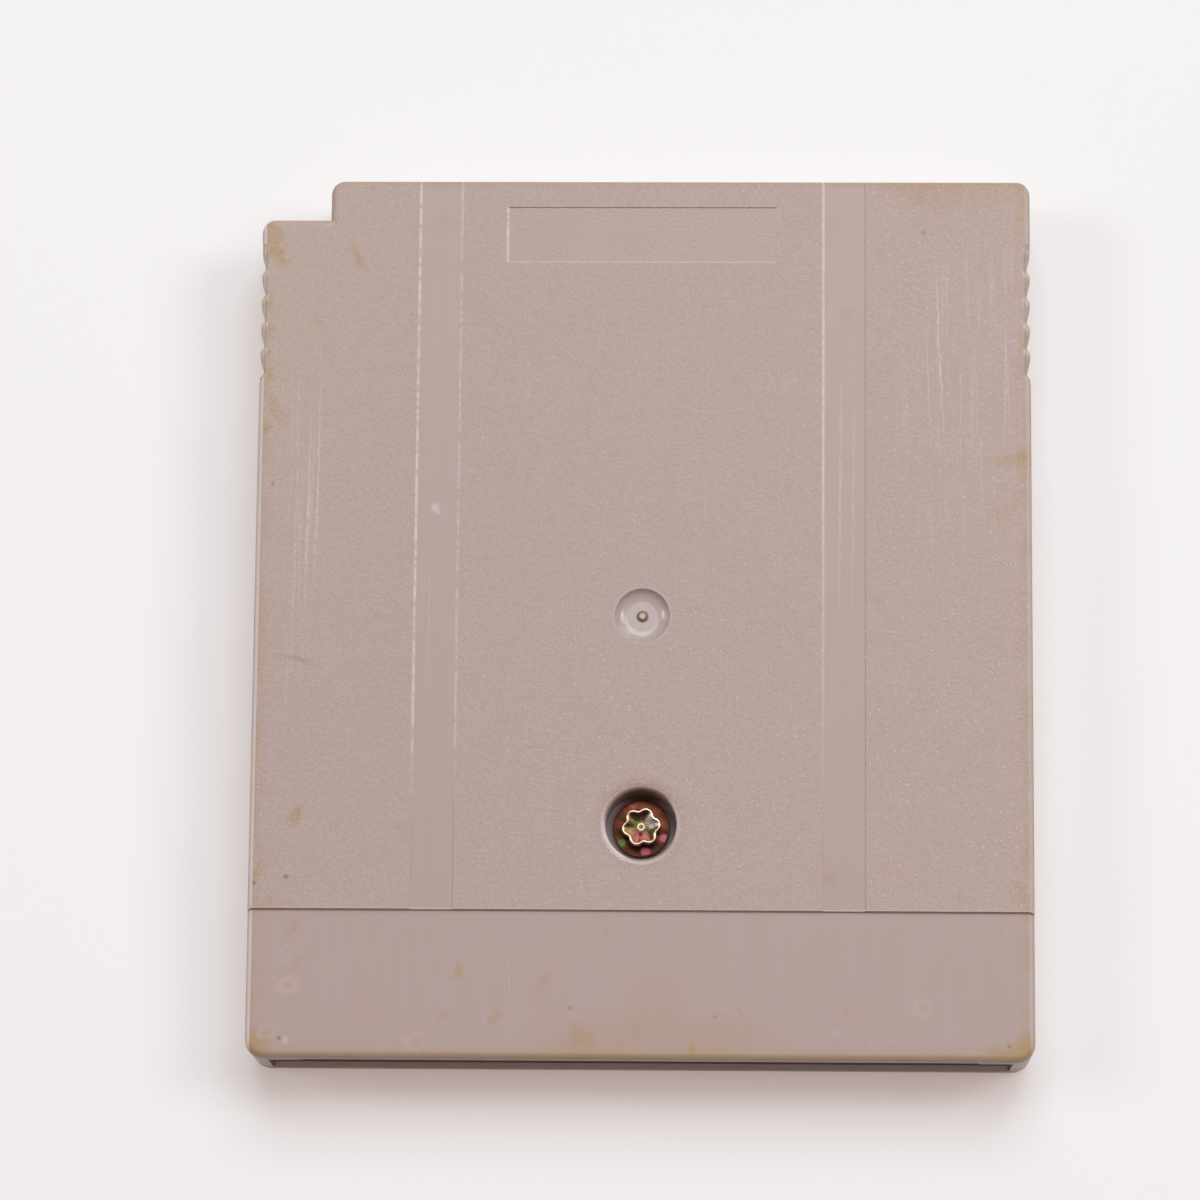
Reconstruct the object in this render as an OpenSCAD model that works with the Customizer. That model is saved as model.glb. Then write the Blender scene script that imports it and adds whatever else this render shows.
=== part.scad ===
/* [Body] */
// Width across the two gripped sides
body_w = 57; // [54:0.5:62]
// Height from the connector end to the top edge
body_h = 65.5; // [62:0.5:72]
// Thickness from the front face to the rear face
body_t = 7.8; // [7.7:0.1:9]
// Corner radius in plan at the top and at the notch
top_corner_r = 1; // [0.7:0.1:1.6]
// Corner radius in plan at the connector end
end_corner_r = 1.4; // [0.8:0.1:2]
// Rounding of the edges round the front and rear faces
edge_r = 0.5; // [0.3:0.05:0.6]
// Rounding of the two edges that meet at the seam
seam_r = 0.12; // [0.05:0.01:0.2]
// Width of the keying notch in one top corner
notch_w = 5.1; // [4:0.1:8]
// Depth of the keying notch
notch_d = 3; // [2:0.1:4]
// Side and top walls of the rear shell
wall = 1.6; // [1.4:0.1:2]
// Thickness of the rear panel
rear_floor = 1.5; // [1.3:0.05:1.7]
// Thickness of the front panel, up to the seam
front_floor = 1.6; // [1.4:0.05:1.75]
// Gap between pieces of the two shells that slide past each other
fit_gap = 0.1; // [0.05:0.01:0.2]

/* [Side grips] */
// Number of teeth on each side
grip_count = 5; // [3:1:6]
// Distance from one tooth to the next
grip_pitch = 1.97; // [1.6:0.01:2.3]
// Depth that each tooth falls back to
grip_depth = 0.35; // [0.2:0.05:0.5]
// Distance from the top edge to the first tooth
grip_start = 5.1; // [4.5:0.1:8]
// Share of the pitch over which a tooth falls back
grip_fall = 0.86; // [0.7:0.02:0.92]
// Bulge of a tooth's long flank
grip_bulge = 0.09; // [0.04:0.01:0.14]
// Width of the slope beside the teeth on the rear face
grip_slope = 0.45; // [0.2:0.05:0.6]
// Drop of that slope
grip_drop = 0.9; // [0.5:0.1:1.6]
// Length over which the slope fades out at each end
grip_taper = 0.5; // [0.4:0.1:0.8]

/* [Rear face] */
// Width of the two smooth bands
band_w = 3.1; // [2:0.1:5]
// Distance from the middle line to a band
band_in = 13.4; // [12:0.1:16]
// Depth of the bands
band_depth = 0.06; // [0.04:0.01:0.25]
// Shift of the bands and the framed recess towards the notched side
relief_shift = 0.2; // [0:0.05:0.4]
// Height of the smooth zone at the connector end
zone_h = 10.75; // [8:0.05:12]
// Depth of the smooth zone
zone_depth = 0.3; // [0.15:0.05:0.5]
// Width of the slope down to the smooth zone
zone_slope = 0.12; // [0.05:0.01:0.3]
// Width of the framed recess near the top
frame_w = 20; // [14:0.1:24]
// Height of the framed recess
frame_h = 4.15; // [3:0.05:6]
// Depth of the framed recess
frame_depth = 0.08; // [0.05:0.01:0.4]
// Distance from the top edge to the framed recess
frame_top = 2.05; // [1.5:0.05:4]
// Diameter of the moulding gate's dish
dish_d = 4.05; // [3:0.05:5]
// Depth of the dish
dish_depth = 0.5; // [0.3:0.05:0.7]
// Rounding between the dish's flat floor and its side
dish_round = 1.1; // [0.9:0.05:1.1]
// Distance from the connector end to the dish's centre
dish_y = 32.55; // [28:0.05:40]
// Diameter of the gate's stub at its foot
stub_d = 0.8; // [0.5:0.05:1.2]
// Diameter of the stub's broken top
stub_top_d = 0.4; // [0.2:0.05:0.5]
// Height of the gate's stub
stub_h = 0.3; // [0.1:0.02:0.4]
// Length of the bevel along the lip of the connector mouth
bevel_w = 48.8; // [40:0.2:50]
// Width of that bevel, seen from the rear
bevel_d = 0.3; // [0.2:0.05:0.8]
// Drop of that bevel
bevel_drop = 0.2; // [0.1:0.05:0.5]
// Thickness of the lip at its edge, below the smooth zone
lip_t = 0.6; // [0.5:0.05:0.9]
// Length over which the lip thickens inwards
lip_len = 1.2; // [0.6:0.1:2]
// Chamfer on the front panel's edge in the mouth
lead_in = 0.4; // [0.2:0.05:0.7]

/* [Front face] */
// Width of the bare label recess
label_w = 42.2; // [38:0.1:46]
// Height of the bare label recess
label_h = 37.4; // [32:0.1:38.6]
// Distance from the connector end to the label recess
label_y = 8.4; // [7:0.1:9.2]
// Corner radius of the label recess
label_r = 2; // [1:0.1:4]
// Depth of the label recess
label_depth = 0.3; // [0.15:0.05:0.4]
// Width of the rounded bar recess above the label
bar_w = 36.6; // [30:0.1:38]
// Height of the rounded bar recess
bar_h = 8.4; // [6:0.1:9]
// Depth of the rounded bar recess
bar_depth = 0.3; // [0.15:0.05:0.4]
// Length of the ribs beside the bar, in from each side
rib_len = 8; // [4:0.1:8.8]
// Width of the insertion arrow
arrow_w = 6; // [4:0.1:8]
// Height of the insertion arrow
arrow_h = 3.2; // [2:0.1:4]
// Distance from the connector end to the arrow's tip
arrow_y = 3; // [2:0.1:3.6]
// Depth of the insertion arrow
arrow_depth = 0.3; // [0.15:0.05:0.5]

/* [Screw and its recess] */
// Distance from the connector end to the screw's axis
screw_y = 17.15; // [16:0.05:18]
// Diameter of the screw recess
recess_d = 5.1; // [4.6:0.1:6]
// Depth of the screw recess
recess_depth = 2.9; // [2.6:0.05:3.1]
// Rounding of the recess's rim
recess_rim = 0.45; // [0.1:0.05:0.6]
// Wall of the tube that the screw sits in
tube_wall = 0.7; // [0.5:0.05:1]
// Web under the screw's flange
web_t = 1; // [0.8:0.05:1.3]
// Diameter of the screw's flange
flange_d = 4.15; // [3.6:0.05:4.5]
// Thickness of the screw's flange
flange_t = 0.6; // [0.4:0.05:0.9]
// Diameter across the lobes of the driving crown
crown_d = 2.9; // [2.6:0.05:3.2]
// Diameter of the crown between its lobes
core_d = 2.4; // [2:0.05:2.5]
// Chamfer on the crown's top edge
crown_edge = 0.12; // [0.05:0.01:0.25]
// Diameter of the dimple in the crown
dimple_d = 0.6; // [0.4:0.05:0.9]
// Depth of that dimple
dimple_h = 0.12; // [0.05:0.01:0.2]
// Height of the driving crown
crown_h = 1; // [0.8:0.05:1.4]
// Number of lobes on the crown
lobe_count = 6; // [5:1:8]
// Diameter of one lobe
lobe_d = 1.1; // [0.8:0.05:1.2]
// Turn of the crown as it was left
crown_turn = 9; // [0:1:59]
// Outer diameter of the thread
thread_d = 2.5; // [2.2:0.05:2.8]
// Depth of the thread
thread_depth = 0.25; // [0.15:0.05:0.35]
// Pitch of the thread
thread_pitch = 0.6; // [0.5:0.05:0.8]
// Length of the screw under its flange
screw_len = 3.7; // [3.2:0.05:3.8]
// Gap round the thread, in the web and in the boss
thread_gap = 0.05; // [0.03:0.01:0.1]
// Wall of the boss that takes the thread
boss_wall = 1.3; // [1:0.05:1.5]

/* [Circuit board] */
// Thickness of the board
board_t = 0.8; // [0.7:0.05:0.9]
// Length of the board
board_len = 50; // [48.5:0.1:51]
// Gap between the board and each side wall
board_gap = 0.5; // [0.3:0.05:0.8]
// Distance of the board's edge inside the mouth
board_recess = 1.35; // [0.8:0.05:2]
// Gap between the board and the rear panel
back_gap = 1.3; // [1.2:0.05:1.4]
// Number of edge contacts
contact_count = 32; // [24:1:32]
// Distance from one contact to the next
contact_pitch = 1.5; // [1.3:0.05:1.55]
// Width of a contact
contact_w = 1; // [0.7:0.05:1.1]
// Length of a contact
contact_len = 5.5; // [4:0.1:6]
// Thickness of the contacts' plating
contact_t = 0.05; // [0.04:0.01:0.08]
// Distance from the board's edge to the contacts
contact_inset = 0.35; // [0.2:0.05:0.6]
// Board left beside the outer contacts
tongue_margin = 0.9; // [0.5:0.1:1]
// Length of the narrow tongue that carries the contacts
tongue_len = 7.5; // [6.5:0.1:9]
// Gap round the screw tube in the board
tube_gap = 0.25; // [0.15:0.05:0.4]
// Diameter of the pillars that locate the board
pillar_d = 2.4; // [2:0.1:3]
// Gap round those pillars
pillar_gap = 0.15; // [0.1:0.05:0.25]
// Distance from the connector end to those pillars
pillar_y = 15.3; // [14.5:0.1:16.5]
// Thickness of the shells' inner ribs
rib_t = 0.8; // [0.6:0.05:1.1]

/* [Chips] */
// Height of the large packages
chip_h = 2.1; // [1.8:0.05:2.15]
// Gap under the packages
chip_lift = 0.1; // [0.05:0.01:0.15]
// Distance from one lead to the next
lead_pitch = 1.27; // [1.1:0.01:1.3]
// Width of a lead
lead_w = 0.42; // [0.3:0.02:0.5]
// Thickness of a lead
lead_t = 0.15; // [0.1:0.01:0.2]
// Reach of the leads beyond a package
lead_reach = 1.5; // [1.2:0.05:1.7]
// Length of the program memory's package
rom_w = 20.6; // [20:0.1:21.4]
// Width of the program memory's package
rom_d = 11.2; // [10:0.1:11.6]
// Leads on each side of the program memory
rom_leads = 16; // [12:1:16]
// Length of the bank controller's package
bank_w = 15.3; // [14.8:0.1:16]
// Width of the bank controller's package
bank_d = 7.5; // [7:0.1:8]
// Leads on each side of the bank controller
bank_leads = 12; // [10:1:12]
// Length of the save memory's package
ram_w = 18.1; // [17.4:0.1:18.6]
// Width of the save memory's package
ram_d = 8.4; // [7.6:0.1:8.8]
// Leads on each side of the save memory
ram_leads = 14; // [10:1:14]
// Length of the voltage supervisor's package
guard_w = 5; // [4.8:0.1:5.4]
// Width of the voltage supervisor's package
guard_d = 3.9; // [3.6:0.1:4.2]
// Height of the voltage supervisor's package
guard_h = 1.4; // [1.2:0.05:1.8]
// Leads on each side of the voltage supervisor
guard_leads = 4; // [3:1:4]

/* [Battery and small parts] */
// Diameter of the coin cell
cell_d = 16; // [14:0.1:16.5]
// Thickness of the coin cell
cell_t = 1.6; // [1.2:0.05:1.75]
// Wall of the cell's can
can_wall = 0.3; // [0.2:0.02:0.4]
// Width of the cell's sealing ring
seal_w = 0.5; // [0.3:0.05:0.7]
// Thickness of the cell's solder tabs
tab_t = 0.15; // [0.1:0.01:0.2]
// Width of the solder tabs
tab_w = 3; // [2:0.1:3.6]
// Distance from the cell's centre to each tab's middle
tab_off = 3; // [2.4:0.1:3.6]
// Length of a tab's foot on the board
tab_foot = 1.8; // [1.2:0.1:2]
// Length of a chip capacitor or resistor
small_w = 2; // [1.6:0.05:2.2]
// Width of a chip capacitor or resistor
small_d = 1.25; // [0.9:0.05:1.4]
// Height of a capacitor
cap_h = 0.9; // [0.6:0.05:1.2]
// Height of a resistor
res_h = 0.5; // [0.35:0.05:0.7]
// Length of each metal end
end_w = 0.4; // [0.25:0.05:0.5]
// Length of the diode's package
diode_w = 2.9; // [2.6:0.1:3.1]
// Width of the diode's package
diode_d = 1.3; // [1.2:0.05:1.5]
// Height of the diode's package
diode_h = 0.95; // [0.8:0.05:1.2]

/* [Hidden] */

plastic = "#b7a5a0";
epoxy = "#26262a";
tinned = "#b9bcc0";

// How far a cutter reaches past the face that it cuts
over = 1;
// How far a rib or boss is rooted in its panel
bite = 0.4;
// Smallest corner radius inside the shells
inner_r = 0.4;

left_x = -body_w / 2;
right_x = body_w / 2;
end_y = -body_h / 2;
top_y = body_h / 2;
notch_x = left_x + notch_w;
notch_y = top_y - notch_d;
cavity_x = body_w / 2 - wall;
cavity_top = top_y - wall;
rear_in = body_t - rear_floor;
zone_z = body_t - zone_depth;
zone_y = end_y + zone_h;
band_out = band_in + band_w;

grip_top = top_y - grip_start;
grip_end = grip_top - grip_count * grip_pitch;
grip_mid = (grip_top + grip_end) / 2;
// A groove of the front face is an arc whose chord is the pitch
groove_r = (pow(grip_pitch / 2, 2) + pow(grip_depth, 2)) / (2 * grip_depth);
// Its place below a tooth's crest, as a share of the pitch
groove_set = 0.47;

board_back = rear_in - back_gap;
board_front = board_back - board_t;
board_x = cavity_x - board_gap;
board_end = end_y + board_recess;
board_top = board_end + board_len;
tongue_x = ((contact_count - 1) * contact_pitch + contact_w) / 2 + tongue_margin;
tongue_top = board_end + tongue_len;
tongue_r = 0.8;

axis_y = end_y + screw_y;
web_top = body_t - recess_depth;
web_low = web_top - web_t;
tube_d = recess_d + 2 * tube_wall;
thread_hole_d = thread_d + 2 * thread_gap;
boss_d = thread_d + 2 * boss_wall;
screw_tip = web_top - screw_len;
pilot_low = screw_tip - 0.2;
tip_h = 0.5;

// The lap rim stands inside the rear shell's walls
rim_h = 0.8;
rim_t = 0.8;
rim_start = 6;
// Ledges on the rear shell and the hooks that catch them
ledge_t = 0.5;
ledge_reach = 0.7;
hook_t = 0.9;
nose_t = 0.5;
hook_len = 5;
ledge_len = hook_len + 2;
hook_clear = 0.2;
nose_top = board_front - hook_clear;
nose_low = nose_top - nose_t;
ledge_top = nose_low - fit_gap;
hook_from_end = [11.5, 38];
side_hook_ys = [for (d = hook_from_end) end_y + d];
top_hook_x = 13;

pillar_x = board_x - 0.3;
pillar_low = board_front - hook_clear;
rest_d = 2.2;
rest_inset = 2;
// Distance of the inner ribs and rests from the tongue's sides and its shoulder
rib_inset = 4;
rib_room = 1;
rest_room = 2.6;
first_rib = 1.8;
rest_spots = [
    [board_x - rest_inset, board_top - rest_inset],
    [-board_x + rest_inset, board_top - rest_inset],
    [tongue_x - rib_inset, tongue_top + rest_room],
    [-tongue_x + rib_inset, tongue_top + rest_room]
];

// Places on the board. Across it they are shares of its half width, and along it
// they are stacked down from its top edge.
rom_share = -0.47;
cell_share = 0.54;
ram_share = -0.55;
bank_share = 0.55;
rom_room = 2;
cell_room = 1.6;
ram_room = 3.2;
bank_room = 4.75;
middle_x = 2;
rom_at = [rom_share * board_x, board_top - rom_room - lead_reach - rom_d / 2];
cell_at = [cell_share * board_x, board_top - cell_room - cell_d / 2];
ram_at = [ram_share * board_x, rom_at[1] - rom_d / 2 - ram_room - 2 * lead_reach - ram_d / 2];
bank_at = [bank_share * board_x, cell_at[1] - cell_d / 2 - bank_room - lead_reach - bank_d / 2];
guard_room = 6.1;
guard_at = [middle_x, board_top - guard_room];
small_x = -2.1;
small_step = 3.1;
small_room = 21.6;
res_rise = 4.2;
cap_room = 13.4;
diode_drop = 4.4;
small_row = board_top - small_room;
cap_spots = concat(
    [for (i = [0:2]) [small_x + i * small_step, small_row]],
    [[middle_x, board_top - cap_room]]
);
res_spots = [for (i = [0:2]) [small_x + i * small_step, small_row + res_rise]];
diode_at = [small_x + small_step, small_row - diode_drop];

chip_z = board_front;
package_draft = 0.16;
mark_d = 1.3;
mark_depth = 0.1;
crimp = 0.35;
cap_lift = 0.1;

module block(x0, y0, z0, x1, y1, z1)
    translate([x0, y0, z0])
        cube([x1 - x0, y1 - y0, z1 - z0]);

module plain_rect(x0, y0, x1, y1)
    translate([x0, y0])
        square([x1 - x0, y1 - y0]);

// What is cut away to round a corner at x, y, with the material towards dx, dy
module corner_cut(x, y, dx, dy, r)
    difference() {
        translate([x + dx * (r - over) / 2, y + dy * (r - over) / 2])
            square(r + over, center = true);
        translate([x + dx * r, y + dy * r])
            circle(r = r, $fn = 48);
    }

module round_rect(w, h, r)
    difference() {
        square([w, h], center = true);
        for (dx = [-1, 1], dy = [-1, 1])
            corner_cut(-dx * w / 2, -dy * h / 2, dx, dy, r);
    }

// Plan of the cartridge, drawn in from its edge by inset
module outline(inset) {
    x = body_w / 2 - inset;
    y = body_h / 2 - inset;
    nx = notch_x + inset;
    ny = notch_y - inset;
    r_top = max(top_corner_r - inset, inner_r);
    r_end = max(end_corner_r - inset, inner_r);
    difference() {
        union() {
            plain_rect(-x, -y, x, ny);
            plain_rect(nx, -y, x, y);
        }
        corner_cut(-x, -y, 1, 1, r_end);
        corner_cut(x, -y, -1, 1, r_end);
        corner_cut(x, y, -1, -1, r_top);
        corner_cut(nx, y, 1, -1, r_top);
        corner_cut(-x, ny, 1, -1, r_top);
    }
}

// Rounding cutter along an edge that runs in X
module edge_x(y, z, dy, dz, r, x0, x1)
    translate([x0, 0, 0])
        rotate([90, 0, 90])
            linear_extrude(height = x1 - x0)
                corner_cut(y, z, dy, dz, r);

// Rounding cutter along an edge that runs in Y
module edge_y(x, z, dx, dz, r, y0, y1)
    translate([0, y1, 0])
        rotate([90, 0, 0])
            linear_extrude(height = y1 - y0)
                corner_cut(x, z, dx, dz, r);

// Rounding cutter round one corner of the plan, whose radius is corner
module edge_ring(x, y, dx, dy, corner, z, dz, r)
    intersection() {
        translate([x + dx * corner, y + dy * corner, 0])
            rotate_extrude($fn = 64)
                corner_cut(corner, z, -1, dz, r);
        translate([x + dx * (corner - over) / 2, y + dy * (corner - over) / 2, z])
            cube([corner + over, corner + over, 2 * (r + over)], center = true);
    }

// Rounds the edges at height z above the line y0
module round_upper_edges(z, dz, r, y0) {
    c = top_corner_r;
    edge_y(right_x, z, -1, dz, r, y0, top_y - c);
    edge_y(left_x, z, 1, dz, r, y0, notch_y - c);
    edge_x(top_y, z, -1, dz, r, notch_x + c, right_x - c);
    edge_x(notch_y, z, -1, dz, r, left_x + c, notch_x);
    edge_y(notch_x, z, 1, dz, r, notch_y, top_y - c);
    edge_ring(right_x, top_y, -1, -1, c, z, dz, r);
    edge_ring(notch_x, top_y, 1, -1, c, z, dz, r);
    edge_ring(left_x, notch_y, 1, -1, c, z, dz, r);
    intersection() {
        edge_x(notch_y, z, -1, dz, r, notch_x, notch_x + r);
        edge_y(notch_x, z, 1, dz, r, notch_y - r, notch_y);
    }
}

// Rounds the edges at height z below the line y1
module round_lower_edges(z, dz, r, y1) {
    c = end_corner_r;
    edge_y(right_x, z, -1, dz, r, end_y + c, y1);
    edge_y(left_x, z, 1, dz, r, end_y + c, y1);
    edge_x(end_y, z, 1, dz, r, left_x + c, right_x - c);
    edge_ring(left_x, end_y, 1, 1, c, z, dz, r);
    edge_ring(right_x, end_y, -1, 1, c, z, dz, r);
}

// What is cut away beside one tooth of the right side, whose crest is at the origin
module tooth_gap() {
    fall = grip_pitch * grip_fall;
    chord = sqrt(pow(fall, 2) + pow(grip_depth, 2));
    flank_r = (pow(chord / 2, 2) + pow(grip_bulge, 2)) / (2 * grip_bulge);
    lean = atan2(grip_depth, fall);
    back = flank_r - grip_bulge;
    difference() {
        polygon([
            [over, 0], [0, 0], [-grip_depth, -fall], [0, -grip_pitch], [over, -grip_pitch]
        ]);
        translate([-grip_depth / 2 - back * cos(lean), -fall / 2 + back * sin(lean)])
            circle(r = flank_r, $fn = 128);
    }
}

// The slope beside the teeth of the right side, fading out at both ends
module grip_edge() {
    inner = right_x - 1.5 * grip_slope;
    outer = right_x + grip_slope;
    intersection() {
        translate([0, grip_mid, 0])
            rotate([90, 0, 0])
                linear_extrude(height = grip_top - grip_end + 6 * grip_taper, center = true)
                    polygon([
                        [right_x - grip_slope, body_t], [right_x, body_t - grip_drop],
                        [right_x + over, body_t - grip_drop], [right_x + over, body_t + over],
                        [right_x - grip_slope, body_t + over]
                    ]);
        linear_extrude(height = body_t + 2 * over)
            polygon([
                [inner, grip_end + grip_taper / 2], [outer, grip_end - 2 * grip_taper],
                [outer, grip_top + 2 * grip_taper], [inner, grip_top - grip_taper / 2]
            ]);
    }
}

module grips() {
    for (i = [0:grip_count - 1], flip = [0, 1])
        mirror([flip, 0, 0])
            translate([right_x, grip_top - i * grip_pitch, -over])
                linear_extrude(height = body_t + 2 * over)
                    tooth_gap();
    for (flip = [0, 1])
        mirror([flip, 0, 0])
            grip_edge();
}

// The raised textured panels stand above the bands and the zone
module rear_relief() {
    translate([-relief_shift, 0, 0]) {
        for (x = [-band_out, band_in])
            block(x, zone_y - over, body_t - band_depth, x + band_w, top_y + over, body_t + over);
        translate([0, top_y - frame_top - frame_h / 2, body_t - frame_depth])
            linear_extrude(height = over)
                square([frame_w, frame_h], center = true);
    }
    slope = zone_slope / zone_depth;
    translate([left_x - over, 0, 0])
        rotate([90, 0, 90])
            linear_extrude(height = body_w + 2 * over)
                polygon([
                    [end_y - over, zone_z], [zone_y, zone_z],
                    [zone_y + slope * (zone_depth + over), body_t + over],
                    [end_y - over, body_t + over]
                ]);
}

// Bevels the lip of the mouth outside, and thins it inside towards its edge
module lip_bevel()
    translate([-bevel_w / 2, 0, 0])
        rotate([90, 0, 90])
            linear_extrude(height = bevel_w) {
                polygon([
                    [end_y + bevel_d, zone_z],
                    [end_y + bevel_d, zone_z + over],
                    [end_y - bevel_d, zone_z + over],
                    [end_y - bevel_d, zone_z - 2 * bevel_drop]
                ]);
                polygon([
                    [end_y + lip_len, rear_in], [end_y, zone_z - lip_t],
                    [end_y - over, zone_z - lip_t], [end_y - over, rear_in - over],
                    [end_y + lip_len, rear_in - over]
                ]);
            }

// A round dish with a flat floor, with the gate's stub left standing in it
module gate_dish() {
    rise = dish_round - dish_depth;
    floor_r = dish_d / 2 - sqrt(pow(dish_round, 2) - pow(rise, 2));
    translate([0, end_y + dish_y, body_t - dish_depth])
        difference() {
            union() {
                cylinder(r = floor_r, h = dish_depth + over, $fn = 64);
                rotate_extrude($fn = 96)
                    translate([floor_r, dish_round])
                        circle(r = dish_round, $fn = 96);
            }
            cylinder(d1 = stub_d, d2 = stub_top_d, h = stub_h, $fn = 48);
        }
}

module screw_recess()
    translate([0, axis_y, 0]) {
        translate([0, 0, web_top])
            cylinder(d = recess_d, h = recess_depth + over, $fn = 64);
        rotate_extrude($fn = 96)
            corner_cut(recess_d / 2, body_t, 1, -1, recess_rim);
        translate([0, 0, web_low - over])
            cylinder(d = thread_hole_d, h = web_t + 2 * over, $fn = 48);
    }

module cavity() {
    depth = rear_in - front_floor + over;
    translate([0, 0, front_floor - over])
        linear_extrude(height = depth)
            outline(wall);
    block(-cavity_x, end_y - over, front_floor - over, cavity_x, end_y + wall + over, rear_in);
}

// Ribs on the rear panel that back the board
module board_ribs() {
    height = rear_in - board_back + bite;
    side_x = tongue_x - rib_inset;
    low_y = board_end + first_rib;
    high_y = board_top - rib_room;
    top = board_back + height;
    block(-side_x - rest_inset, low_y, board_back, side_x + rest_inset, low_y + rib_t, top);
    for (side = [-1, 1])
        translate([side * side_x, 0, 0])
            block(-rib_t / 2, tongue_top + rib_room, board_back, rib_t / 2, high_y, top);
    block(-side_x, high_y - rib_t, board_back, side_x, high_y, top);
}

// Half-round pillars on the side walls that pass the board's notches
module pillars()
    for (side = [-1, 1])
        intersection() {
            translate([side * pillar_x, end_y + pillar_y, pillar_low])
                cylinder(d = pillar_d, h = rear_in + bite - pillar_low, $fn = 48);
            block(-cavity_x - bite, end_y, 0, cavity_x + bite, top_y, body_t);
        }

// Ledges inside the walls, one for each hook of the front shell
module ledges() {
    for (side = [-1, 1], y = side_hook_ys)
        translate([side * (cavity_x + (bite - ledge_reach) / 2), y, ledge_top - ledge_t / 2])
            cube([ledge_reach + bite, ledge_len, ledge_t], center = true);
    for (side = [-1, 1])
        translate([side * top_hook_x, cavity_top + (bite - ledge_reach) / 2, ledge_top - ledge_t / 2])
            cube([ledge_len, ledge_reach + bite, ledge_t], center = true);
}

module rear_shell()
    color(plastic)
    difference() {
        union() {
            difference() {
                translate([0, 0, front_floor])
                    linear_extrude(height = body_t - front_floor)
                        outline(0);
                cavity();
            }
            translate([0, axis_y, web_low])
                cylinder(d = tube_d, h = rear_in + bite - web_low, $fn = 64);
            board_ribs();
            pillars();
            ledges();
        }
        rear_relief();
        round_upper_edges(body_t, -1, edge_r, zone_y);
        round_lower_edges(zone_z, -1, edge_r, zone_y);
        round_upper_edges(front_floor, 1, seam_r, zone_y);
        round_lower_edges(front_floor, 1, seam_r, zone_y);
        grips();
        lip_bevel();
        gate_dish();
        screw_recess();
    }

// Grooves across the front face, in line with the teeth of the sides
module front_ribs() {
    first_y = grip_top - groove_set * grip_pitch;
    for (side = [-1, 1], i = [0:grip_count - 1])
        translate([side * (right_x - rib_len), first_y - i * grip_pitch, grip_depth - groove_r])
            rotate([0, side * 90, 0])
                cylinder(r = groove_r, h = rib_len + over, $fn = 64);
}

// Chamfer on the front panel's edge, which guides the connector into the mouth
module mouth_lead()
    translate([-cavity_x + fit_gap, 0, 0])
        rotate([90, 0, 90])
            linear_extrude(height = 2 * (cavity_x - fit_gap))
                polygon([
                    [end_y - over, front_floor - lead_in], [end_y, front_floor - lead_in],
                    [end_y + lead_in, front_floor], [end_y + lead_in, front_floor + over],
                    [end_y - over, front_floor + over]
                ]);

module bar_recess()
    translate([0, grip_mid, -over])
        linear_extrude(height = bar_depth + over)
            round_rect(bar_w, bar_h, bar_h / 2 - 0.01);

module label_recess()
    translate([0, end_y + label_y + label_h / 2, -over])
        linear_extrude(height = label_depth + over)
            round_rect(label_w, label_h, label_r);

module arrow()
    translate([0, end_y + arrow_y, -over])
        linear_extrude(height = arrow_depth + over)
            polygon([[0, 0], [arrow_w / 2, arrow_h], [-arrow_w / 2, arrow_h]]);

module lap_rim()
    intersection() {
        translate([0, 0, front_floor - bite])
            linear_extrude(height = rim_h + bite)
                difference() {
                    outline(wall + fit_gap);
                    outline(wall + fit_gap + rim_t);
                }
        block(left_x, end_y + rim_start, 0, right_x, top_y, body_t);
    }

// One hook, standing at the origin with its nose towards +X
module hook()
    rotate([90, 0, 0])
        linear_extrude(height = hook_len, center = true)
            polygon([
                [-hook_t, front_floor - bite],
                [0, front_floor - bite],
                [0, nose_low],
                [rim_t - fit_gap, nose_low],
                [rim_t - fit_gap, nose_low + nose_t / 2],
                [rim_t - fit_gap - nose_t / 2, nose_top],
                [-hook_t, nose_top]
            ]);

module hooks() {
    reach = fit_gap + rim_t;
    for (y = side_hook_ys) {
        translate([cavity_x - reach, y, 0])
            hook();
        translate([-cavity_x + reach, y, 0])
            mirror([1, 0, 0])
                hook();
    }
    for (side = [-1, 1])
        translate([side * top_hook_x, cavity_top - reach, 0])
            rotate([0, 0, 90])
                hook();
}

module board_rests()
    for (spot = rest_spots)
        translate([spot[0], spot[1], front_floor - bite])
            cylinder(d = rest_d, h = board_front - front_floor + bite, $fn = 48);

module front_shell()
    color(plastic)
    difference() {
        union() {
            linear_extrude(height = front_floor)
                outline(0);
            lap_rim();
            hooks();
            board_rests();
            translate([0, axis_y, front_floor - bite])
                cylinder(d = boss_d, h = web_low - front_floor + bite, $fn = 64);
        }
        translate([0, axis_y, pilot_low])
            cylinder(d = thread_hole_d, h = web_low - pilot_low + over, $fn = 48);
        round_upper_edges(0, 1, edge_r, zone_y);
        round_lower_edges(0, 1, edge_r, zone_y);
        intersection() {
            union() {
                round_upper_edges(front_floor, -1, seam_r, zone_y);
                round_lower_edges(front_floor, -1, seam_r, zone_y);
            }
            translate([0, 0, front_floor - seam_r])
                linear_extrude(height = seam_r + over / 2)
                    square([body_w + 2 * over, body_h + 2 * over], center = true);
        }
        grips();
        front_ribs();
        bar_recess();
        label_recess();
        arrow();
        mouth_lead();
    }

// Profile of the threaded shank, as rings of the thread's depth
module shank() {
    turns = floor((screw_len - tip_h) / thread_pitch);
    crest = thread_d / 2;
    root = crest - thread_depth;
    start = screw_tip + tip_h;
    rotate_extrude($fn = 48)
        polygon(concat(
            [[0, screw_tip], [root / 2, screw_tip]],
            [for (i = [0:turns - 1]) each [
                [root, start + i * thread_pitch],
                [crest, start + (i + 0.5) * thread_pitch]
            ]],
            [[root, start + turns * thread_pitch], [root, web_top], [0, web_top]]
        ));
}

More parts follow.
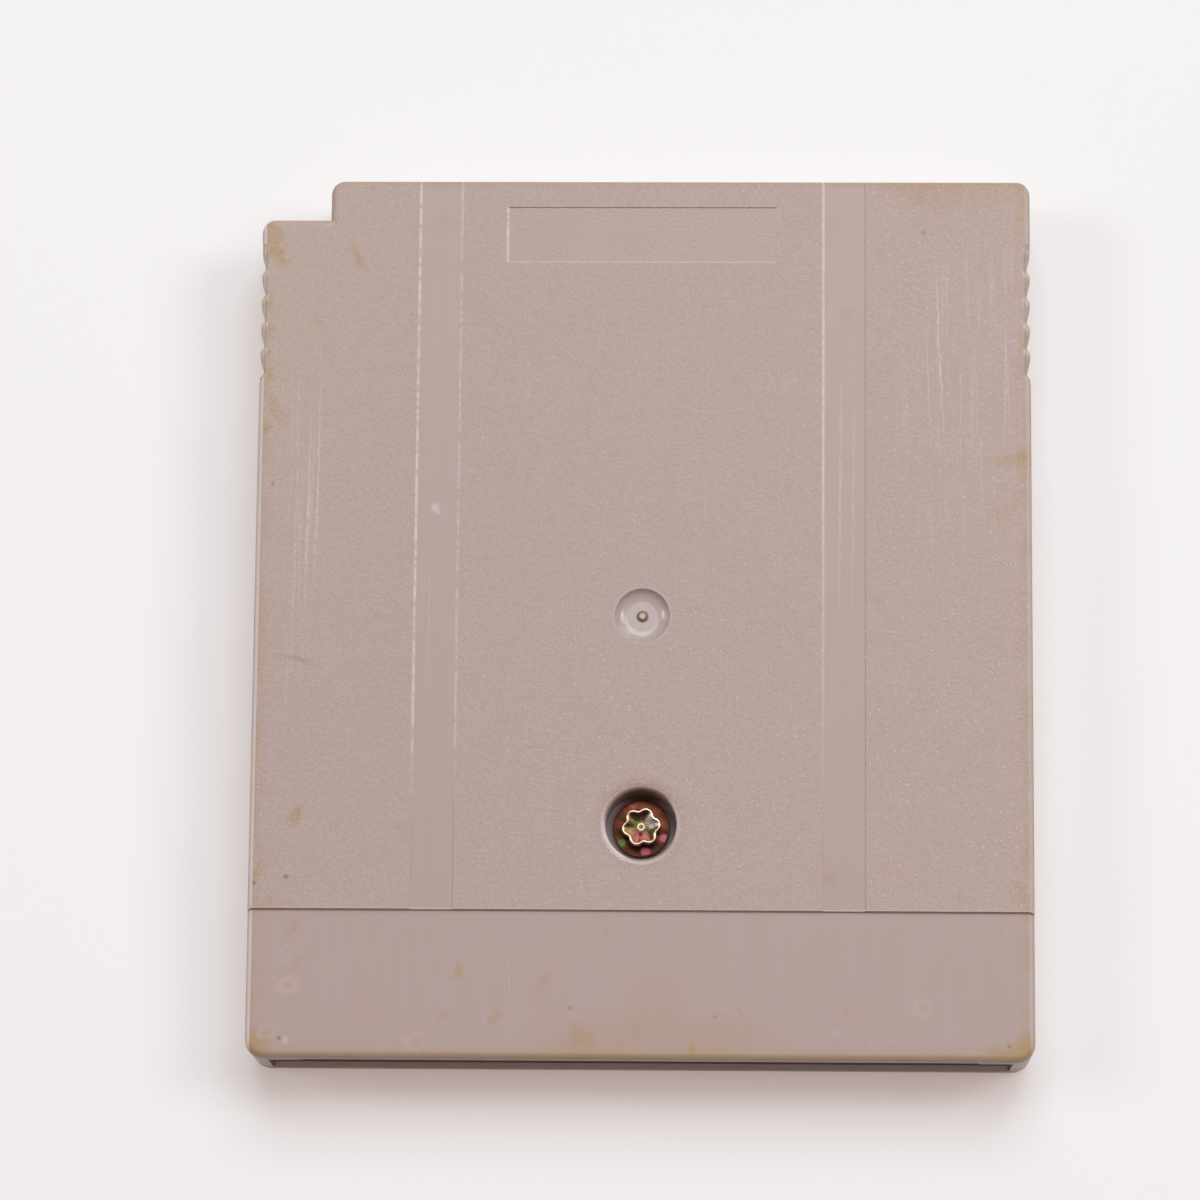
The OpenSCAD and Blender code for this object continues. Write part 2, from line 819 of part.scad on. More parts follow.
// Six round lobes about a core, with the top edge chamfered
module crown() {
    lobe_ring = (crown_d - lobe_d) / 2;
    base = web_top + flange_t;
    edge = crown_edge;
    difference() {
        intersection() {
            translate([0, 0, base - bite])
                linear_extrude(height = crown_h + bite) {
                    circle(d = core_d, $fn = 64);
                    for (i = [0:lobe_count - 1])
                        rotate(crown_turn + i * 360 / lobe_count)
                            translate([lobe_ring, 0])
                                circle(d = lobe_d, $fn = 32);
                }
            union() {
                translate([0, 0, base - bite])
                    cylinder(d = crown_d + 2 * edge, h = crown_h + bite - edge, $fn = 64);
                translate([0, 0, base + crown_h - edge])
                    cylinder(d1 = crown_d, d2 = crown_d - 2 * edge, h = edge, $fn = 64);
            }
        }
        translate([0, 0, base + crown_h - dimple_h])
            cylinder(d = dimple_d, h = over, $fn = 32);
    }
}

module screw()
    color("#8c7453")
    translate([0, axis_y, 0]) {
        shank();
        translate([0, 0, web_top])
            rotate_extrude($fn = 64)
                polygon([
                    [0, 0],
                    [flange_d / 2 - 0.1, 0],
                    [flange_d / 2, 0.1],
                    [flange_d / 2, flange_t - 0.2],
                    [flange_d / 2 - 0.25, flange_t],
                    [0, flange_t]
                ]);
        crown();
    }

module circuit_board()
    color("#2f6b4a")
    difference() {
        translate([0, 0, board_front])
            linear_extrude(height = board_t)
                difference() {
                    union() {
                        plain_rect(-board_x, tongue_top, board_x, board_top);
                        plain_rect(-tongue_x, board_end, tongue_x, board_top);
                    }
                    for (side = [-1, 1]) {
                        corner_cut(side * board_x, board_top, -side, -1, tongue_r);
                        corner_cut(side * board_x, tongue_top, -side, 1, tongue_r);
                        corner_cut(side * tongue_x, board_end, -side, 1, tongue_r / 2);
                        translate([side * pillar_x, end_y + pillar_y])
                            circle(d = pillar_d + 2 * pillar_gap, $fn = 48);
                    }
                    translate([0, axis_y])
                        circle(d = tube_d + 2 * tube_gap, $fn = 64);
                }
    }

module edge_contacts()
    color("#d9b04a")
    for (i = [0:contact_count - 1])
        translate([(i - (contact_count - 1) / 2) * contact_pitch - contact_w / 2,
                   board_end + contact_inset, board_front - contact_t])
            cube([contact_w, contact_len, contact_t]);

// Stands a part on the board's front side, with its own +Z pointing away from the board
module on_board(spot)
    translate([spot[0], spot[1], chip_z])
        mirror([0, 0, 1])
            children();

module draft_profile(w, low, high) {
    mid = (low + high) / 2;
    polygon([
        [-w / 2 + package_draft, low], [w / 2 - package_draft, low],
        [w / 2, mid], [w / 2 - package_draft, high],
        [-w / 2 + package_draft, high], [-w / 2, mid]
    ]);
}

// Moulded package, drafted both ways from its parting line, with a mark at lead one
module package(w, d, h)
    difference() {
        intersection() {
            rotate([90, 0, 0])
                linear_extrude(height = d, center = true)
                    draft_profile(w, chip_lift, chip_lift + h);
            rotate([90, 0, 90])
                linear_extrude(height = w, center = true)
                    draft_profile(d, chip_lift, chip_lift + h);
        }
        translate([-w / 2 + mark_d, -d / 2 + mark_d, chip_lift + h - mark_depth])
            cylinder(d = mark_d * 0.7, h = over, $fn = 32);
    }

// Gull-wing leads on both long sides, from the package's parting line to the board
module leads(count, d, h, reach) {
    exit = chip_lift + h / 2;
    bend = reach * 0.3;
    foot = reach * 0.4;
    for (side = [0, 1], i = [0:count - 1])
        mirror([0, side, 0])
            translate([(i - (count - 1) / 2) * lead_pitch, d / 2, 0])
                rotate([90, 0, 90])
                    linear_extrude(height = lead_w, center = true)
                        polygon([
                            [0, exit], [bend - lead_t / 2, exit],
                            [reach - foot - lead_t / 2, 0], [reach, 0],
                            [reach, lead_t], [reach - foot + lead_t / 2, lead_t],
                            [bend + lead_t / 2, exit + lead_t], [0, exit + lead_t]
                        ]);
}

module program_chip()
    color(epoxy)
        on_board(rom_at)
            package(rom_w, rom_d, chip_h);

module program_chip_leads()
    color(tinned)
        on_board(rom_at)
            leads(rom_leads, rom_d, chip_h, lead_reach);

module bank_chip()
    color(epoxy)
        on_board(bank_at)
            package(bank_w, bank_d, chip_h);

module bank_chip_leads()
    color(tinned)
        on_board(bank_at)
            leads(bank_leads, bank_d, chip_h, lead_reach);

module save_chip()
    color(epoxy)
        on_board(ram_at)
            package(ram_w, ram_d, chip_h);

module save_chip_leads()
    color(tinned)
        on_board(ram_at)
            leads(ram_leads, ram_d, chip_h, lead_reach);

module supervisor_chip()
    color(epoxy)
        on_board(guard_at)
            package(guard_w, guard_d, guard_h);

module supervisor_chip_leads()
    color(tinned)
        on_board(guard_at)
            leads(guard_leads, guard_d, guard_h, lead_reach * 0.75);

// The can is a cup that opens towards the board
module battery_can()
    color("#c9c9cc")
    on_board(cell_at)
        translate([0, 0, tab_t])
            rotate_extrude($fn = 96)
                polygon([
                    [0, cell_t - can_wall], [cell_d / 2 - can_wall, cell_t - can_wall],
                    [cell_d / 2 - can_wall, cap_lift], [cell_d / 2 - can_wall / 2, cap_lift],
                    [cell_d / 2, cap_lift + can_wall], [cell_d / 2, cell_t - crimp],
                    [cell_d / 2 - crimp, cell_t], [0, cell_t]
                ]);

module battery_seal()
    color("#3a3a3c")
    on_board(cell_at)
        translate([0, 0, tab_t])
            rotate_extrude($fn = 96)
                polygon([
                    [cell_d / 2 - can_wall - seal_w, cap_lift], [cell_d / 2 - can_wall, cap_lift],
                    [cell_d / 2 - can_wall, cell_t - can_wall],
                    [cell_d / 2 - can_wall - seal_w, cell_t - can_wall]
                ]);

module battery_cap()
    color("#bdbdc0")
    on_board(cell_at)
        translate([0, 0, tab_t])
            rotate_extrude($fn = 96)
                polygon([
                    [0, 0], [cell_d / 2 - can_wall - seal_w - crimp, 0],
                    [cell_d / 2 - can_wall - seal_w, crimp],
                    [cell_d / 2 - can_wall - seal_w, cell_t - can_wall], [0, cell_t - can_wall]
                ]);

// The plus tab lies on the can, steps down beside it and ends in a foot
module battery_tab_plus() {
    top = tab_t + cell_t;
    out = cell_d / 2 + fit_gap;
    color(tinned)
        on_board(cell_at)
            translate([tab_off, 0, 0])
                rotate([90, 0, -90])
                    linear_extrude(height = tab_w, center = true)
                        polygon([
                            [-1, top], [out, top], [out, 0], [out + tab_foot, 0],
                            [out + tab_foot, tab_t], [out + tab_t, tab_t],
                            [out + tab_t, top + tab_t], [-1, top + tab_t]
                        ]);
}

// The minus tab lies flat between the board and the cell
module battery_tab_minus() {
    out = cell_d / 2 + fit_gap + tab_foot;
    color(tinned)
        on_board(cell_at)
            translate([-tab_off - tab_w / 2, -out, 0])
                cube([tab_w, out + 1, tab_t]);
}

module small_body(h)
    translate([0, 0, h / 2])
        cube([small_d, small_w - 2 * end_w, h], center = true);

module small_ends(h)
    for (side = [-1, 1])
        translate([0, side * (small_w - end_w) / 2, h / 2])
            cube([small_d, end_w, h], center = true);

module capacitor_bodies()
    color("#a58a68")
    for (spot = cap_spots)
        on_board(spot)
            small_body(cap_h);

module capacitor_ends()
    color(tinned)
    for (spot = cap_spots)
        on_board(spot)
            small_ends(cap_h);

module resistor_bodies()
    color("#2b2b2d")
    for (spot = res_spots)
        on_board(spot)
            small_body(res_h);

module resistor_ends()
    color(tinned)
    for (spot = res_spots)
        on_board(spot)
            small_ends(res_h);

module diode_body()
    color(epoxy)
    on_board(diode_at)
        package(diode_w, diode_d, diode_h);

module diode_leads() {
    reach = diode_d / 2;
    color(tinned)
        on_board(diode_at)
            for (place = [[-1, 1], [1, 1], [0, -1]])
                translate([place[0] * 0.95, place[1] > 0 ? diode_d / 2 : -diode_d / 2 - reach, 0])
                    translate([-lead_w / 2, 0, 0])
                        cube([lead_w, reach, lead_t]);
}

rear_shell();
front_shell();
screw();
circuit_board();
edge_contacts();
program_chip();
program_chip_leads();
bank_chip();
bank_chip_leads();
save_chip();
save_chip_leads();
supervisor_chip();
supervisor_chip_leads();
battery_can();
battery_seal();
battery_cap();
battery_tab_plus();
battery_tab_minus();
capacitor_bodies();
capacitor_ends();
resistor_bodies();
resistor_ends();
diode_body();
diode_leads();
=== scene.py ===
import math

import bmesh
import bpy
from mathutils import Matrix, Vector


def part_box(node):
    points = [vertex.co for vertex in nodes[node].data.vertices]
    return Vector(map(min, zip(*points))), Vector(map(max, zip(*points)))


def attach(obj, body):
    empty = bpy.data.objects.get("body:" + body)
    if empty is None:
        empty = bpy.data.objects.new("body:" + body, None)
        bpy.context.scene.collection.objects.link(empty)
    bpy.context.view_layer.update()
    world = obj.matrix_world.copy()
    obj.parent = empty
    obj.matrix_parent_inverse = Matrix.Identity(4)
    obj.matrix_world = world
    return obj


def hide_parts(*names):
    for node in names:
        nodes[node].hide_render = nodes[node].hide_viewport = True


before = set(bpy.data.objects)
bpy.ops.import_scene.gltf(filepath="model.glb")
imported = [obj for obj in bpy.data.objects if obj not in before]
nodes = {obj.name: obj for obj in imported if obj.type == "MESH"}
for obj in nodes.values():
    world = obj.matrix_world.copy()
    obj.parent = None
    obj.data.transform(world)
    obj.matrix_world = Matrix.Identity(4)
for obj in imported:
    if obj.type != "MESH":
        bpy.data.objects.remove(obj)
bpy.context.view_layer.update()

# The viewpoint: the cartridge lies on its front face and the camera hangs about 37 cm above the
# rear face, a little toward the connector end, with a long lens and hardly any tilt.
mm = 0.001
camera_place = (7.29 * mm, -71.33 * mm, 373.47 * mm)
camera_turn = (math.radians(11.19), math.radians(1.525), math.radians(0.53))
bpy.ops.object.select_all(action="DESELECT")
bpy.ops.object.camera_add(location=camera_place, rotation=camera_turn)
camera = bpy.context.object
camera.name = "viewpoint"
camera.data.sensor_width = 36
camera.data.lens = 152.86
camera.data.clip_start = 0.01
bpy.context.scene.camera = camera

# The two shells: halves moulded in one pinkish grey plastic. The raised panels are spark grained,
# the bands, the lower zone and the recesses are smooth, and years of handling have yellowed the
# edges, left stains and specks, and rubbed light lines along the bands. Sizes are in millimetres.
half_w, half_h = 28.5, 32.75
rear_z, zone_z, seam_z = 7.8, 7.5, 1.6
step_y, lip_z, mouth_half = -21.94, 6.9, 26.95
band_in, band_out, shift = 13.4, 16.5, -0.2
frame_half, frame_low, frame_high = 10, 26.55, 30.7
hole_y, hole_r = -15.6, 2.55
dish_y, dish_r, stub_r = -0.2, 2.025, 0.4
tooth_top, tooth_end, tooth_pitch = 27.65, 17.8, 1.97


class Wire:
    """An output of a finish's node tree. Sums and products of wires and numbers add Math nodes."""

    def __init__(self, tree, socket):
        self.tree, self.socket = tree, socket

    def node(self, kind, settings, sockets, out=0):
        """Adds a node. Its settings come first, then the values or wires of its sockets."""
        made = self.tree.nodes.new(kind)
        for name, value in settings.items():
            setattr(made, name, value)
        for key, value in sockets.items():
            if isinstance(value, Wire):
                self.tree.links.new(value.socket, made.inputs[key])
            else:
                made.inputs[key].default_value = value
        return Wire(self.tree, made.outputs[out])

    def also(self, out):
        """Another output of the node that this wire comes from."""
        return Wire(self.tree, self.socket.node.outputs[out])

    def maths(self, operation, *terms):
        return self.node("ShaderNodeMath", {"operation": operation}, dict(enumerate(terms)))

    def __add__(self, other):
        return self.maths("ADD", self, other)

    def __sub__(self, other):
        return self.maths("SUBTRACT", self, other)

    def __rsub__(self, other):
        return self.maths("SUBTRACT", other, self)

    def __mul__(self, other):
        return self.maths("MULTIPLY", self, other)

    def __truediv__(self, other):
        return self.maths("DIVIDE", self, other)

    def __abs__(self):
        return self.maths("ABSOLUTE", self)

    __radd__ = __add__
    __rmul__ = __mul__

    def over(self, other):
        return self.maths("MAXIMUM", self, other)

    def under(self, other):
        return self.maths("MINIMUM", self, other)

    def fraction(self):
        """What is left over the whole number below, so a pattern starts again at each one."""
        return self.maths("FRACT", self)

    def rise(self, low, high, most=1.0):
        """Eases from 0 at low to most at high, or down where low is the larger."""
        sockets = {"Value": self, "From Min": low, "From Max": high, "To Max": most}
        return self.node("ShaderNodeMapRange", {"interpolation_type": "SMOOTHSTEP"}, sockets)

    def line(self, place, half):
        """A thin line at a place along this coordinate."""
        return abs(self - place).rise(half, half * 0.4)

    def vector(self, operation, other, out=0):
        return self.node("ShaderNodeVectorMath", {"operation": operation}, {0: self, 1: other}, out)

    def away(self, at_x, at_y):
        """Distance from a place on the face."""
        return self.vector("DISTANCE", (at_x, at_y, 0), 1)

    def spots(self, marks, turn=0, slim=1.0):
        """Soft marks (x, y, reach, strength), slimmer across the direction that turn gives."""
        lean = math.radians(turn)
        laid = {"Vector": self, "Rotation": (0, 0, lean), "Scale": (1, slim, 1)}
        laid = self.node("ShaderNodeMapping", {"vector_type": "TEXTURE"}, laid)
        total = 0
        for at_x, at_y, reach, strength in marks:
            along = at_x * math.cos(lean) + at_y * math.sin(lean)
            across = (at_y * math.cos(lean) - at_x * math.sin(lean)) / slim
            total = laid.away(along, across).rise(reach, reach * 0.15, strength) + total
        return total

    def between(self, first, second):
        """Mixes two colours by this wire."""
        return self.node("ShaderNodeMix", {"data_type": "RGBA"}, {0: self, 6: first, 7: second}, 2)

    def grain(self, scale, detail=2.0, stretch=(1, 1, 1)):
        """Noise from 0 to 1 along these coordinates."""
        sockets = {"Vector": self.vector("MULTIPLY", stretch), "Scale": scale, "Detail": detail}
        return self.node("ShaderNodeTexNoise", {}, sockets)

    def cells(self, scale):
        """Distance to the nearest of many scattered points."""
        return self.node("ShaderNodeTexVoronoi", {}, {"Vector": self, "Scale": scale})

    def parts(self):
        """The x, y and z of these coordinates."""
        x = self.node("ShaderNodeSeparateXYZ", {}, {0: self})
        return x, x.also(1), x.also(2)

    def bump(self, depth):
        """A normal from this height, where 1 stands for depth in millimetres."""
        return self.node("ShaderNodeBump", {}, {"Height": self, "Distance": depth * mm})

    def feed(self, shader, name):
        self.tree.links.new(self.socket, shader.inputs[name])


def tone(red, green, blue):
    """A colour as the eye reads it, from 0 to 255, turned into the shader's linear numbers."""
    return (*(((c / 255 + 0.055) / 1.055) ** 2.4 for c in (red, green, blue)), 1.0)


def new_finish(name, **fixed):
    """A material, its shader with the fixed sockets set, and the place on the piece in mm."""
    material = bpy.data.materials.new(name)
    material.use_nodes = True
    tree = material.node_tree
    shader = tree.nodes["Principled BSDF"]
    for socket, value in fixed.items():
        shader.inputs[socket.replace("_", " ")].default_value = value
    where = Wire(tree, tree.nodes.new("ShaderNodeTexCoord").outputs["Object"])
    scaled = where.node("ShaderNodeVectorMath", {"operation": "SCALE"}, {0: where, "Scale": 1 / mm})
    return material, shader, scaled


def dress(material, *names):
    """Gives the finish to nodes of the frame."""
    for name in names:
        for slot in nodes[name].material_slots:
            slot.material = material


plastic, shader, place = new_finish("shell_plastic")
x, y, z = place.parts()
level = place.vector("MULTIPLY", (1, 1, 0))
face = z.rise(zone_z - 0.4, zone_z - 0.15)
zone = y.rise(step_y + 0.1, step_y - 0.05) * face
bands = abs(x - shift)
band_half = (band_out - band_in) / 2
band = abs(bands - (band_in + band_out) / 2).rise(band_half + 0.03, band_half - 0.03)
band = band * (1 - zone) * face
framed = bands.rise(frame_half + 0.03, frame_half - 0.03) * face
framed = framed * y.rise(frame_low - 0.03, frame_low + 0.03)
framed = framed * y.rise(frame_high + 0.03, frame_high - 0.03)
panel = z.rise(zone_z, rear_z - 0.1) * (1 - band) * (1 - zone) * (1 - framed)
patch = place.grain(0.45, 2.0)
side_in = half_w - abs(x)
top_in = half_h - y
foot_in = y + half_h

# The plastic's own colour: yellowed at the top left and the right edge, a little redder in the
# lower zone, and faintly brushed lengthwise there and on the bands.
colour = (x.rise(-30, 40) * 0.5).between(tone(172, 151, 145), tone(177, 155, 149))
colour = (patch.rise(0.4, 0.7) * 0.25).between(colour, tone(172, 153, 141))
yellowed = x.rise(-14, -30) * y.rise(-12, 20) * 0.6 + x.rise(24, 30) * 0.3
colour = yellowed.under(0.8).between(colour, tone(175, 155, 139))
colour = (zone * 0.6).between(colour, tone(171, 149, 145))
brush = place.grain(2.6, 2.0, (1, 0.04, 1))
brushed = brush.rise(0.45, 0.7) * zone.over(band)
colour = (brushed * 0.09).between(colour, tone(186, 167, 163))

# Brown stains, in groups that lean one way: x, y, half length and strength of each.
wander = place.node(
    "ShaderNodeTexNoise", {"normalize": False}, {"Vector": place, "Scale": 1.3, "Detail": 2.0}, 1
)
loose = wander.vector("MULTIPLY", (0.35, 0.35, 0)).vector("ADD", level)
falling = (
    (-27.3, 27.0, 2.1, 0.75), (-27.6, 28.8, 1.8, 0.6), (-21.4, 26.9, 1.5, 0.65),
    (-24.1, 21.9, 0.9, 0.4), (-27.3, 15.3, 1.7, 0.65), (7.2, -29.3, 0.7, 0.35),
    (14.9, -29.3, 0.8, 0.4),
)
rising = (
    (-25.1, -14.95, 1.3, 0.9), (-27.9, -19.3, 1.1, 0.6), (-25.2, -23.3, 1.1, 0.45),
    (-24.8, -26.0, 1.0, 0.35), (-13.2, -26.4, 1.0, 0.55), (-14.3, -29.7, 1.0, 0.35),
    (-10.5, -29.7, 1.0, 0.45), (-2.4, -23.4, 0.9, 0.3), (-6.95, -27.2, 1.6, 0.35),
    (5.9, -25.9, 0.8, 0.3), (3.7, -32.0, 0.8, 0.5),
)
round_stains = (
    (-27.8, 21.2, 0.8, 0.6), (-27.8, 19.6, 0.6, 0.45), (-27.8, 17.9, 0.6, 0.5),
    (-27.9, 23.2, 0.6, 0.45), (-26.3, 14.4, 0.9, 0.3), (-27.9, 13.8, 0.7, 0.6),
    (-14.7, 29.6, 1.2, 0.22), (14.8, 22.6, 0.9, 0.28), (27.9, 11.8, 1.1, 0.45),
    (26.3, 7.5, 1.8, 0.25), (-17.2, -15.9, 0.8, 0.3), (-4.3, -31.2, 1.4, 0.35),
    (1.1, -29.2, 3.8, 0.22), (13.8, -19.5, 0.75, 0.45), (27.4, -20.5, 1.1, 0.4),
    (23.2, -21.0, 0.8, 0.25), (-27.8, -31.6, 1.9, 0.6), (27.9, -31.4, 1.4, 0.45),
)
lying = (
    (26.4, 11.5, 2.2, 0.4), (-26.9, -21.4, 2.0, 0.35), (5.5, -30.8, 6.0, 0.3),
    (-3.0, -31.0, 7.0, 0.3), (26.8, -31.9, 2.0, 0.5), (25.1, -31.9, 1.0, 0.35),
    (22.5, 31.9, 6.5, 0.4),
)
stain = loose.spots(falling, -60, 0.4) + loose.spots(rising, 60, 0.42)
stain = stain + loose.spots(round_stains) + loose.spots(lying, 0, 0.35)
left_edge = side_in.rise(1.6, 0.2) * patch.rise(0.25, 0.65) * 0.4
top_edge = top_in.rise(0.8, 0.25, 0.4)
foot_edge = foot_in.rise(0.75, 0.4, 0.42) + foot_in.rise(1.8, 0.5, 0.2)
stain = (stain + left_edge + top_edge + foot_edge) * (0.7 + 0.6 * patch)
colour = (stain.under(0.92) * face).between(colour, tone(166, 135, 98))

# Dark specks and a smudge, pink spots, chalky marks, and faint rings where drops dried.
dark_specks = (
    (-28.0, -20.1, 0.24, 0.7), (-5.0, -29.0, 0.24, 0.5), (5.45, -29.6, 0.2, 0.4),
    (26.6, -31.6, 0.24, 0.6), (20.6, 28.75, 0.26, 0.5), (-26.0, -31.3, 0.26, 0.7),
    (-25.7, -19.6, 0.26, 0.9), (-27.3, 9.6, 0.22, 0.7),
)
smudge = ((-25.3, -3.5, 1.9, 0.3),)
pink_spots = (
    (-20.1, -29.4, 1.1, 0.35), (18.4, -18.9, 1.3, 0.3), (-16.2, -31.2, 0.9, 0.3),
    (-25.5, -27.35, 0.7, 0.4), (21.3, 28.95, 0.26, 0.9), (-0.9, 31.9, 0.45, 0.5),
    (-28.0, -28.0, 1.0, 0.25),
)
chalk = (
    (-15.3, 7.85, 0.45, 0.8), (-15.05, 7.5, 0.28, 0.6), (-25.55, -31.45, 0.45, 0.4),
    (14.2, -30.7, 0.5, 0.12),
)
dark = level.spots(dark_specks) + level.spots(smudge, -12, 0.16)
colour = (dark * face).between(colour, tone(106, 92, 70))
colour = (level.spots(pink_spots) * face).between(colour, tone(186, 140, 132))
colour = (level.spots(chalk) * face).between(colour, tone(196, 184, 186))
rings = (
    (-25.7, -25.2, 0.5, 0.16), (-25.5, -27.5, 0.6, 0.3), (-16.2, -31.4, 0.6, 0.2),
    (-26.9, -30.9, 0.45, 0.25), (20.4, -28.9, 0.5, 0.22), (17.3, -31.4, 0.5, 0.16),
    (27.0, -23.0, 0.6, 0.14),
)
scuff = 0
for at_x, at_y, reach, strength in rings:
    scuff = loose.away(at_x, at_y).line(reach, 0.26) * strength + scuff
colour = (scuff * zone * 0.7).between(colour, tone(196, 178, 172))

# Light rubbed lines down the face: x and y of the middle, half length and strength of each.
left_rubs = (
    (-23.95, 10.5, 9.5, 0.5), (-24.65, 8.0, 10.5, 0.42), (-25.55, 6.1, 9.0, 0.3),
    (-24.35, 10.0, 7.0, 0.25), (-26.0, -4.9, 5.0, 0.35), (-25.6, -0.5, 5.5, 0.25),
    (14.45, 9.6, 13.0, 0.25), (15.4, 8.5, 13.0, 0.18), (-15.65, 0.0, 7.0, 0.25),
    (15.2, -13.7, 2.5, 0.3), (-25.65, -18.2, 1.2, 0.35),
)
right_rubs = (
    (21.7, 21.4, 8.0, 0.45), (20.9, 18.0, 6.5, 0.4), (21.9, 16.5, 8.5, 0.25),
    (26.75, 18.0, 7.0, 0.3), (24.55, 15.0, 8.0, 0.2), (-9.45, -27.0, 3.3, 0.3),
)
steady = wander.vector("MULTIPLY", (0.1, 0.1, 0)).vector("ADD", level)
rub = steady.spots(left_rubs, 89.4, 0.012) + steady.spots(right_rubs, 92.4, 0.013)
combed = place.grain(3.4, 2.0, (1, 0.03, 0)).rise(0.5, 0.72)
left_strip = x.rise(-26.6, -26.0) * x.rise(-22.8, -24.0) * y.rise(-10, 4, 0.22) * y.rise(22, 12)
right_strip = x.rise(17.5, 20.5) * x.rise(28.2, 27.2) * y.rise(0, 14, 0.22) * y.rise(30, 26)
dots = place.grain(2.0, 2.0, (0.5, 1, 0)).rise(0.32, 0.62)
rub = (rub + combed * (left_strip + right_strip)) * (0.4 + 0.6 * dots)

# Band and recess edges: rubbed pale, with painted highlights where they catch the light.
edge_fade = y.rise(-17, -6)
left_pair = x.line(-band_out + shift, 0.13) * 0.85 + x.line(-band_in + shift, 0.11) * 0.7
right_pair = x.line(band_in + shift, 0.13) * (0.35 + y.rise(-8, 16, 0.45))
frame_sides = x.line(shift - frame_half, 0.12) * 0.9 + x.line(shift + frame_half, 0.1) * 0.5
frame_sides = frame_sides * y.rise(frame_low - 0.1, frame_low)
frame_sides = frame_sides * y.rise(frame_high + 0.1, frame_high)
# A painted highlight along the lit foot of the recess.
recess_foot_highlight = y.line(frame_low - 0.05, 0.08) * bands.rise(frame_half, frame_half - 0.1, 0.35)
lines = (left_pair + frame_sides) * (0.25 + 0.75 * dots) + right_pair * (0.65 + 0.35 * dots)
lines = lines * edge_fade * (1 - zone) + recess_foot_highlight
# A painted highlight along the sides' edges, stronger on the left.
side_highlight = side_in.line(0.22, 0.2) * (0.3 + x.rise(0, -1, 0.6))
pale = (rub + lines + side_highlight).under(0.95) * face
colour = pale.between(colour, tone(214, 197, 192))

# The grip teeth get painted shade on their flanks and painted highlights on their crests.
phase = ((tooth_top - y) / tooth_pitch).fraction()
grip = side_in.rise(0.62, 0.5) * y.rise(tooth_end - 0.2, tooth_end + 0.2)
grip = grip * y.rise(tooth_top + 0.1, tooth_top - 0.3)
flank = phase.rise(0.12, 0.35, 0.25) * phase.rise(0.98, 0.8)
flank_shade = grip * flank * z.rise(rear_z + 0.05, rear_z - 0.1)
colour = flank_shade.between(colour, tone(112, 92, 86))
crest_highlight = phase.rise(0.2, 0.02, 0.7) + phase.rise(0.88, 1.0, 0.7)
crest_highlight = grip * crest_highlight * z.rise(rear_z - 1.6, rear_z - 0.9)
colour = crest_highlight.between(colour, tone(222, 190, 156))

# The seam holds dirt; the connector mouth and the step carry painted light and shade.
outer = side_in.rise(0.4, 0.2).over((half_h - abs(y)).rise(0.4, 0.2))
seam = z.line(seam_z, 0.16) * outer
colour = (seam * 0.5).between(colour, tone(92, 76, 70))
mouth = foot_in.rise(2.6, 1.8) * z.rise(lip_z + 0.1, lip_z - 0.1)
mouth = mouth * abs(x).rise(mouth_half + 0.15, mouth_half - 0.15)
# Painted light: the mouth's shaded strip is lifted lighter and warmer.
colour = mouth.between(colour, tone(192, 160, 150))
# Painted shade under the lip.
colour = (mouth * z.rise(lip_z - 1.3, lip_z - 0.2, 0.8)).between(colour, tone(112, 80, 68))
# Painted light: the step's face, turned from the lamp, is lifted lighter.
step_light = y.line(step_y, 0.18) * z.rise(zone_z - 0.08, zone_z + 0.06, 0.45) * face
colour = step_light.between(colour, tone(210, 184, 178))

# The polished dish and its stub, with painted shade, highlights and reflections.
out_of_stub = level.away(0, dish_y)
# Painted shade at the foot of the stub, and a painted highlight on its top.
colour = (out_of_stub.line(stub_r - 0.04, 0.16) * face * 0.7).between(colour, tone(112, 88, 78))
colour = (out_of_stub.rise(0.24, 0.14, 0.7) * face).between(colour, tone(206, 178, 146))
dished = out_of_stub.rise(dish_r + 0.03, dish_r - 0.08) * face
# Painted reflections: the inside paler and bluish, brighter at the lower left and right.
colour = (dished * out_of_stub.rise(0.4, 0.5, 0.6)).between(colour, tone(184, 170, 170))
dish_reflection = level.away(-1.5, dish_y - 1.4).rise(0.9, 0.3)
dish_reflection = dish_reflection + level.away(1.9, dish_y + 0.1).rise(0.7, 0.3)
colour = (dished * dish_reflection * 0.35).between(colour, tone(206, 196, 202))
# A painted highlight round the dish's rim.
colour = (out_of_stub.line(dish_r + 0.08, 0.12) * face * 0.3).between(colour, tone(196, 176, 168))

# The screw recess: a stained rim, painted highlights on it, and painted shade down its wall.
out_of_hole = level.away(0, hole_y)
rim_stain = out_of_hole.rise(3.9, 2.9) * face
rim_stain = rim_stain * (0.1 + 0.25 * patch + y.rise(hole_y, hole_y + 3, 0.3))
colour = rim_stain.between(colour, tone(156, 124, 102))
# Painted highlights on the rim at its lower left and right, and a faint painted ring all round.
rim_highlight_spots = level.away(-2.6, hole_y - 1.6).rise(2.4, 1.2, 0.95)
rim_highlight_spots = rim_highlight_spots + level.away(3.0, hole_y + 0.4).rise(2.2, 1.0, 0.8)
rim_highlight_lines = out_of_hole.line(hole_r + 0.13, 0.12) * rim_highlight_spots
rim_highlight_lines = rim_highlight_lines + out_of_hole.line(hole_r + 0.27, 0.12) * 0.25
colour = (rim_highlight_lines * face).between(colour, tone(224, 212, 216))
# Painted shade on the wall, browner at the top.
hole_shade = out_of_hole.rise(hole_r + 0.1, hole_r) * z.rise(rear_z - 0.4, rear_z - 0.9, 0.7)
hole_shade = hole_shade * z.rise(3.5, 4.0)
high = y.rise(hole_y + 0.8, hole_y + 2.4)
hole_shade_tint = high.between(tone(146, 132, 138), tone(156, 116, 102))
colour = hole_shade.between(colour, hole_shade_tint)

